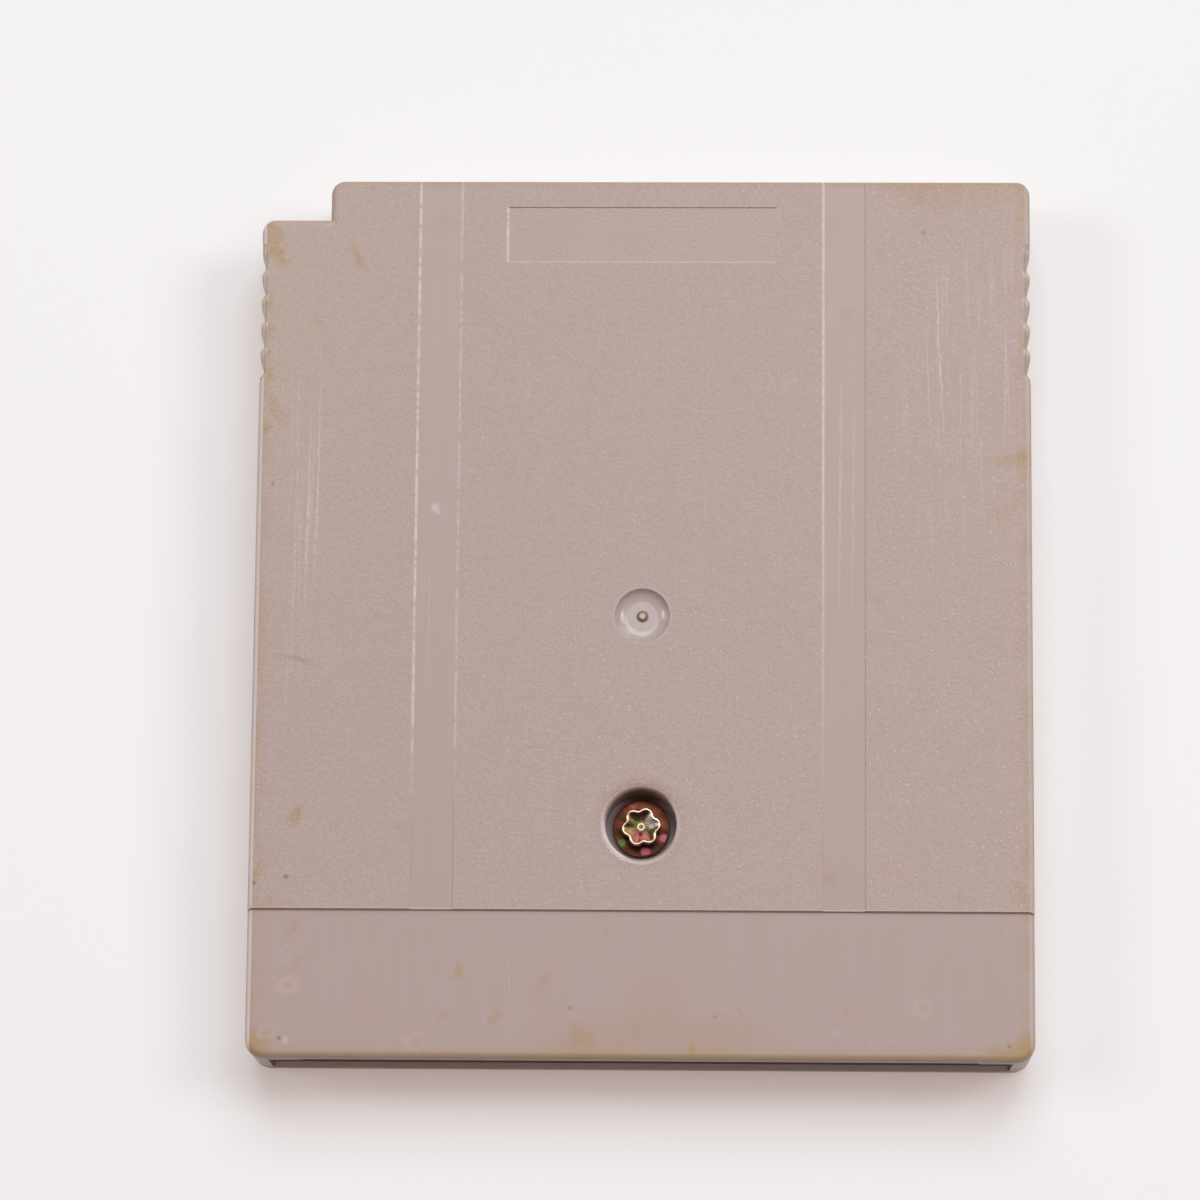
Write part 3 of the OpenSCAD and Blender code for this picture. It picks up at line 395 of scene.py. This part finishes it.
# Painted glints on the grain's peaks, most of all on the right panel and below the dish.
spark = place.grain(5.2, 2.0)
peaks = place.cells(3.3)
painted_glint = peaks.rise(0.26, 0.1) * peaks.also("Color").parts()[0].rise(0.5, 0.85)
lively = (0.45 + 0.55 * x.rise(4, 20).over(y.rise(6, -6) * x.rise(-12, -4))) * panel
colour = (spark.rise(0.32, 0.74, 0.24) * panel).between(colour, tone(196, 179, 174))
colour = (painted_glint * lively * 0.5).between(colour, tone(222, 207, 203))
colour.feed(shader, "Base Color")

tooled = spark * z.rise(zone_z, rear_z - 0.1).over(z.rise(0.12, 0.02))
swell = place.grain(0.16, 1.0) * 0.5
(tooled * (1 - zone) * (1 - band * 0.9) + swell).bump(0.034).feed(shader, "Normal")
polish = dished.over(out_of_hole.rise(3.15, 3.0) * face)
rough = 0.44 + panel * 0.1 + (patch - 0.5) * 0.12 - polish * 0.24
rough.feed(shader, "Roughness")
dress(plastic, "rear_shell", "front_shell")

# The security screw: one turned steel piece with a polished flange, a crown of six rounded lobes
# for the driver, a dimple left by the lathe, and a coarse thread that bites into the boss.
screw_low, screw_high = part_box("screw")
axis = (0, (screw_low.y + screw_high.y) / 2)
flange_r, flange_low, flange_top, edge_top, edge_low = 2.075, 4.9, 5.5, 0.12, 0.06
crown_top, lobe_ring, lobe_r, core_r, lobes, crown_turn = 6.5, 0.9, 0.55, 1.2, 6, 9
foot_gap, foot_rise, rim_rise, dimple_share = 0.4, 0.02, 0.1, 0.34
thread_root, thread_crest, thread_pitch, thread_turns = 1.0, 1.25, 0.6, 5
neck, point, sides = 0.2, 0.5, 96


def pick(piece, kind, test):
    """In edit mode, selects the piece's parts of a kind that pass a test, and nothing else."""
    bpy.ops.mesh.select_mode(type=kind)
    bpy.ops.mesh.select_all(action="DESELECT")
    shape = bmesh.from_edit_mesh(piece.data)
    for part in {"VERT": shape.verts, "EDGE": shape.edges, "FACE": shape.faces}[kind]:
        part.select_set(test(part))
    bmesh.update_edit_mesh(piece.data)


def draw_out(rise, factor):
    """Extrudes the selected face along the screw's axis and scales what it made."""
    move = {"value": (0, 0, rise * mm)}
    bpy.ops.mesh.extrude_region_move(TRANSFORM_OT_translate=move)
    bpy.ops.transform.resize(value=(factor, factor, 1), center_override=(*axis, 0))


bpy.ops.object.select_all(action="DESELECT")
bpy.ops.mesh.primitive_cylinder_add(
    vertices=sides, radius=flange_r * mm, depth=(flange_top - flange_low) * mm,
    location=(*axis, (flange_low + flange_top) / 2 * mm),
)
screw = bpy.context.object
screw.name = "lobed_screw"
bpy.ops.object.transform_apply(location=True, rotation=True, scale=True)
bpy.ops.object.mode_set(mode="EDIT")
pick(screw, "EDGE", lambda e: all(v.co.z > (flange_top - 0.01) * mm for v in e.verts))
bpy.ops.mesh.bevel(offset=edge_top * mm, segments=4, profile=0.5)
pick(screw, "EDGE", lambda e: all(v.co.z < (flange_low + 0.01) * mm for v in e.verts))
bpy.ops.mesh.bevel(offset=edge_low * mm, segments=2, profile=0.5)
pick(screw, "FACE", lambda f: f.normal.z > 0.99 and len(f.verts) > 8)
bpy.ops.mesh.inset(thickness=0.03 * mm)
bpy.ops.mesh.inset(thickness=(foot_gap - 0.03) * mm)
foot_r = flange_r - edge_top - foot_gap
pick(screw, "FACE", lambda f: f.normal.z > 0.99 and len(f.verts) > 8)
draw_out(foot_rise, 1)
lobe_step = 360 / sides
for turn in range(int(180 / lobes / lobe_step) + 1):
    offset = turn * lobe_step
    across = lobe_r ** 2 - (lobe_ring * math.sin(math.radians(offset))) ** 2
    reach = lobe_ring * math.cos(math.radians(offset)) + math.sqrt(max(across, 0))
    reach = max(reach, core_r)

    def on_flank(v):
        angle = math.degrees(math.atan2(v.co.y - axis[1], v.co.x - axis[0])) % (360 / lobes)
        near = min(angle, 360 / lobes - angle)
        far_out = math.hypot(v.co.x - axis[0], v.co.y - axis[1])
        raised = v.co.z > (flange_top + foot_rise / 2) * mm
        return raised and abs(near - offset) < 0.1 and abs(far_out - foot_r * mm) < 0.05 * mm

    pick(screw, "VERT", on_flank)
    factor = reach / foot_r
    bpy.ops.transform.resize(value=(factor, factor, 1), center_override=(*axis, 0))
pick(screw, "FACE", lambda f: f.normal.z > 0.99 and len(f.verts) > 8)
draw_out(crown_top - rim_rise - flange_top - foot_rise, 1)
crown_edge = (
    (0.01, 0.035), (0.02, 0.035), (0.035, 0.02), (0.045, 0.01),
    (0.04, -0.01), (0.04, -0.03), (0.03, -0.02), (0.02, 0),
)
for thickness, depth in crown_edge:
    bpy.ops.mesh.inset(thickness=thickness * mm, depth=depth * mm)
bpy.ops.transform.tosphere(value=1)
bpy.ops.transform.resize(value=(dimple_share, dimple_share, 1), center_override=(*axis, 0))
dimple = ((0.01, 0), (0.02, 0.04), (0.03, 0.015), (0.03, -0.02), (0.03, -0.06), (0.02, 0))
for thickness, depth in dimple:
    bpy.ops.mesh.inset(thickness=thickness * mm, depth=depth * mm)
bpy.ops.mesh.merge(type="CENTER")
pick(screw, "FACE", lambda f: f.normal.z < -0.99 and len(f.verts) > 8)
bpy.ops.mesh.inset(thickness=(flange_r - edge_low - thread_root) * mm)
draw_out(-neck, 1)
for turn in range(thread_turns):
    draw_out(-thread_pitch / 2, thread_crest / thread_root)
    draw_out(-thread_pitch / 2, thread_root / thread_crest)
draw_out(-point, 0.5)
bpy.ops.mesh.select_all(action="SELECT")
bpy.ops.transform.rotate(
    value=-math.radians(crown_turn), orient_axis="Z", center_override=(*axis, 0)
)
bpy.ops.object.mode_set(mode="OBJECT")
bpy.ops.object.shade_smooth_by_angle(angle=math.radians(40))

steel, shader, place = new_finish("plated_screw", Metallic=1.0)
x, y, z = place.parts()
axis_x, axis_y = axis[0] / mm, axis[1] / mm
level = place.vector("MULTIPLY", (1, 1, 0))
cloud = place.grain(1.6, 3.0)
fleck = place.grain(4.5, 2.0)
out_of_axis = level.away(axis_x, axis_y)
colour = cloud.rise(0.4, 0.6).between(tone(226, 210, 166), tone(230, 194, 180))
# Painted dark reflection: the crown's top is darkened to olive and brown, pinker lower down.
top_tone_and_reflection = cloud.rise(0.42, 0.58).between(tone(92, 84, 50), tone(102, 62, 50))
top_tone_and_reflection = fleck.rise(0.5, 0.7, 0.6).between(top_tone_and_reflection, tone(62, 52, 32))
blush = level.away(axis_x, axis_y - 0.62).rise(0.75, 0.2, 0.6)
top_tone_and_reflection = blush.between(top_tone_and_reflection, tone(116, 54, 54))
spot = level.away(axis_x - 0.05, axis_y - 0.55).rise(0.2, 0.1, 0.9)
top_tone_and_reflection = spot.between(top_tone_and_reflection, tone(40, 26, 24))
up, right = y - axis_y, x - axis_x
round_the_axis = up.maths("ARCTAN2", up, right)
lobed = round_the_axis * lobes - math.radians(crown_turn * lobes)
lobed = out_of_axis - lobed.maths("COSINE", lobed) * 0.12
inner = lobed.rise(1.18, 1.1) * out_of_axis.rise(0.34, 0.4)
colour = inner.between(colour, top_tone_and_reflection)
# A painted highlight on the crown's upper right.
crown_highlight = level.away(axis_x + 0.85, axis_y + 0.5).rise(0.7, 0.25, 0.75)
colour = crown_highlight.between(colour, tone(252, 236, 230))
colour = out_of_axis.rise(0.2, 0.14, 0.9).between(colour, tone(86, 74, 44))
low = z.rise(flange_top + 0.25, flange_top + 0.05)
facets = 9
facet = (round_the_axis * (facets / math.tau)).fraction()
facet = facet.rise(0.42, 0.5) * facet.rise(1.0, 0.94)
# Painted reflections on the flange: dark red in nine radial stripes, with pink and green patches.
flange_reflection = facet.between(tone(94, 44, 38), tone(70, 42, 28))
flange_reflection = cloud.rise(0.45, 0.65, 0.5).between(flange_reflection, tone(84, 62, 34))
flange_reflection_patches = (
    (1.62, -0.7, 0.34, tone(150, 84, 100)), (0.3, -1.68, 0.4, tone(156, 84, 98)),
    (-1.42, -1.05, 0.32, tone(88, 112, 56)), (-0.6, 1.75, 0.34, tone(120, 62, 54)),
)
for at_x, at_y, reach, tint in flange_reflection_patches:
    mark = level.away(axis_x + at_x, axis_y + at_y).rise(reach * 1.1, reach * 0.6)
    flange_reflection = mark.between(flange_reflection, tint)
# A painted highlight along the flange's rim.
flange_rim_highlight = out_of_axis.line(flange_r - 0.06, 0.06)
flange_reflection = flange_rim_highlight.between(flange_reflection, tone(206, 120, 108))
colour = low.between(colour, flange_reflection)
colour.feed(shader, "Base Color")
(0.2 + cloud * 0.1 + fleck * 0.08).feed(shader, "Roughness")
(cloud * 0.4 + fleck * 0.3).bump(0.01).feed(shader, "Normal")
screw.data.materials.append(steel)
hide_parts("screw")
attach(screw, "root")

# The circuit board: fibreglass laminate under green lacquer, with copper tracks that show through
# it as paler lines, and bare yellowish cut edges.
laminate, shader, place = new_finish("board_laminate", Coat_Roughness=0.1)
x, y, z = place.parts()
board_low, board_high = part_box("circuit_board")
routed = place.node(
    "ShaderNodeTexVoronoi", {"distance": "CHEBYCHEV"}, {"Vector": place, "Scale": 0.16}, 1
)
lane = routed.parts()[0]
tracks_per_mm = 1.25
along = abs((x * tracks_per_mm).fraction() - 0.5).rise(0.2, 0.14) * lane.rise(0.5, 0.52)
across = abs((y * tracks_per_mm).fraction() - 0.5).rise(0.2, 0.14) * lane.rise(0.3, 0.28)
track = along.over(across)
weave = place.grain(2.2, 2.0, (1, 1, 0.2))
colour = track.between(tone(22, 74, 50), tone(44, 104, 68))
colour = (weave * 0.25).between(colour, tone(16, 58, 40))
low_face, high_face = board_low.z / mm, board_high.z / mm
lacquer = z.rise(low_face + 0.14, low_face + 0.06) + z.rise(high_face - 0.14, high_face - 0.06)
lacquer = lacquer.under(1.0)
colour = (1 - lacquer).between(colour, tone(168, 150, 96))
colour.feed(shader, "Base Color")
(0.32 + weave * 0.1).feed(shader, "Roughness")
(track + weave * 0.2).bump(0.03).feed(shader, "Normal")
(lacquer * 0.4).feed(shader, "Coat Weight")
dress(laminate, "circuit_board")

# The edge contacts: copper fingers on the board's lower end, plated with nickel and gold. Each
# insertion drags the console's springs along them, which leaves fine lengthwise scratches.
gold, shader, place = new_finish("gold_plating", Metallic=1.0)
drag = place.grain(6.0, 2.0, (1, 0.04, 1))
stain = place.grain(0.8, 3.0)
stain.rise(0.4, 0.75).between(tone(226, 186, 112), tone(196, 150, 84)).feed(shader, "Base Color")
(0.22 + drag * 0.25).feed(shader, "Roughness")
drag.bump(0.008).feed(shader, "Normal")
dress(gold, "edge_contacts")

# The four chips and the diode: bodies moulded in black epoxy with a fine matt grain. Their legs are
# bent from tinned strip and soldered down, as are the cell's tabs and the ends of the small parts.
epoxy, shader, place = new_finish("chip_epoxy")
sand = place.grain(9.0, 2.0)
flow = place.grain(0.6, 2.0)
flow.rise(0.3, 0.7).between(tone(38, 38, 41), tone(48, 47, 48)).feed(shader, "Base Color")
(0.5 + sand * 0.16).feed(shader, "Roughness")
sand.bump(0.01).feed(shader, "Normal")
dress(epoxy, "program_chip", "bank_chip", "save_chip", "supervisor_chip", "diode_body")

tin, shader, place = new_finish("tinned_metal", Metallic=1.0)
frost = place.grain(5.0, 3.0)
frost.rise(0.3, 0.7).between(tone(196, 196, 192), tone(172, 171, 166)).feed(shader, "Base Color")
(0.28 + frost * 0.2).feed(shader, "Roughness")
frost.bump(0.01).feed(shader, "Normal")
dress(
    tin, "program_chip_leads", "bank_chip_leads", "save_chip_leads", "supervisor_chip_leads",
    "battery_tab_plus", "battery_tab_minus", "capacitor_ends", "resistor_ends", "diode_leads",
)

# The coin cell: a pressed stainless can and cap, drawn with a faint round brushing, and the grey
# nylon ring that is crimped between them.
can, shader, place = new_finish("cell_steel", Metallic=1.0)
cell_low, cell_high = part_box("battery_can")
cell_middle = tuple((cell_low + cell_high) / 2 / mm)
radius = place.vector("MULTIPLY", (1, 1, 0)).away(cell_middle[0], cell_middle[1])
wobble = place.grain(0.5, 2.0)
ring = radius * 26 + wobble * 4
ring = ring.maths("SINE", ring)
haze = place.grain(0.4, 3.0)
haze.rise(0.3, 0.7).between(tone(204, 203, 198), tone(184, 182, 176)).feed(shader, "Base Color")
(0.27 + ring * 0.03 + haze * 0.08).feed(shader, "Roughness")
(ring * 0.3 + haze * 0.4).bump(0.006).feed(shader, "Normal")
dress(can, "battery_can", "battery_cap")

nylon, shader, place = new_finish("seal_ring")
mottle = place.grain(3.0, 3.0)
mottle.rise(0.3, 0.7).between(tone(92, 92, 96), tone(106, 105, 107)).feed(shader, "Base Color")
(0.42 + mottle * 0.1).feed(shader, "Roughness")
mottle.bump(0.01).feed(shader, "Normal")
dress(nylon, "battery_seal")

# The small parts: capacitors of fired tan ceramic, and resistors of white ceramic that is coated
# with a black glaze. Both are chips that lie flat on the board between their tinned ends.
ceramic, shader, place = new_finish("capacitor_ceramic")
fired = place.grain(4.0, 3.0)
fired.rise(0.3, 0.7).between(tone(168, 138, 102), tone(150, 120, 86)).feed(shader, "Base Color")
(0.45 + fired * 0.15).feed(shader, "Roughness")
fired.bump(0.01).feed(shader, "Normal")
dress(ceramic, "capacitor_bodies")

glaze, shader, place = new_finish("resistor_coating")
speckle = place.grain(5.0, 3.0)
speckle.rise(0.3, 0.7).between(tone(34, 34, 37), tone(46, 45, 46)).feed(shader, "Base Color")
(0.3 + speckle * 0.12).feed(shader, "Roughness")
speckle.bump(0.008).feed(shader, "Normal")
dress(glaze, "resistor_bodies")

# The floor: a broad pale sheet that the cartridge lies on. It glows a little where it is seen, as
# the overexposed sheet in the photo does, so the shadows on it stay soft and warm.
bpy.ops.object.select_all(action="DESELECT")
bpy.ops.mesh.primitive_plane_add(size=6, location=(0, 0, -0.02 * mm))
floor = bpy.context.object
floor.name = "floor"
paper, shader, place = new_finish(
    "pale_sheet", Roughness=0.9, Specular_IOR_Level=0.0, Base_Color=tone(236, 249, 254)
)
sight = place.node("ShaderNodeLightPath", {}, {}, "Is Camera Ray")
seen = (sight + sight.also("Is Glossy Ray") + sight.also("Is Transmission Ray")).under(1.0)
glow = place.node("ShaderNodeEmission", {}, {"Color": (0.986, 0.739, 0.672, 1)})
lit = Wire(place.tree, shader.outputs[0])
pale_floor = place.node("ShaderNodeMixShader", {}, {0: seen * 0.36, 1: lit, 2: glow})
pale_floor.feed(place.tree.nodes["Material Output"], "Surface")
floor.data.materials.append(paper)

# The light: a broad soft lamp above and beyond the top end, a weaker one at the right and a faint
# one at the left, in a dim warm room that is darkest overhead.
lamps = (
    ("top_lamp", (0.1, 0.583, 1.044), 0.8, 9.7, (0.96, 1.01, 1.02)),
    ("right_lamp", (0.75, 0.2, 0.9), 0.45, 4.5, (1.06, 0.98, 0.97)),
    ("left_lamp", (-0.8, 0.1, 0.8), 0.35, 2.4, (1.06, 0.98, 0.97)),
)
for name, lamp_place, side, power, tint in lamps:
    bpy.ops.object.light_add(type="AREA", location=lamp_place)
    lamp = bpy.context.object
    lamp.name = name
    lamp.data.shape = "SQUARE"
    lamp.data.size = side
    lamp.data.energy = power
    lamp.data.color = tint
    lean = math.atan2(math.hypot(lamp_place[0], lamp_place[1]), lamp_place[2])
    lamp.rotation_euler = (-lean, 0, -math.atan2(lamp_place[0], lamp_place[1]))
world = bpy.data.worlds.new("room")
bpy.context.scene.world = world
world.use_nodes = True
sky = world.node_tree.nodes["Background"]
toward = Wire(world.node_tree, world.node_tree.nodes.new("ShaderNodeTexCoord").outputs["Generated"])
height = toward.parts()[2]
height.rise(0.1, 0.95).between((0.2, 0.18, 0.172, 1), (0.1, 0.09, 0.088, 1)).feed(sky, "Color")
bpy.context.scene.view_settings.view_transform = "Standard"
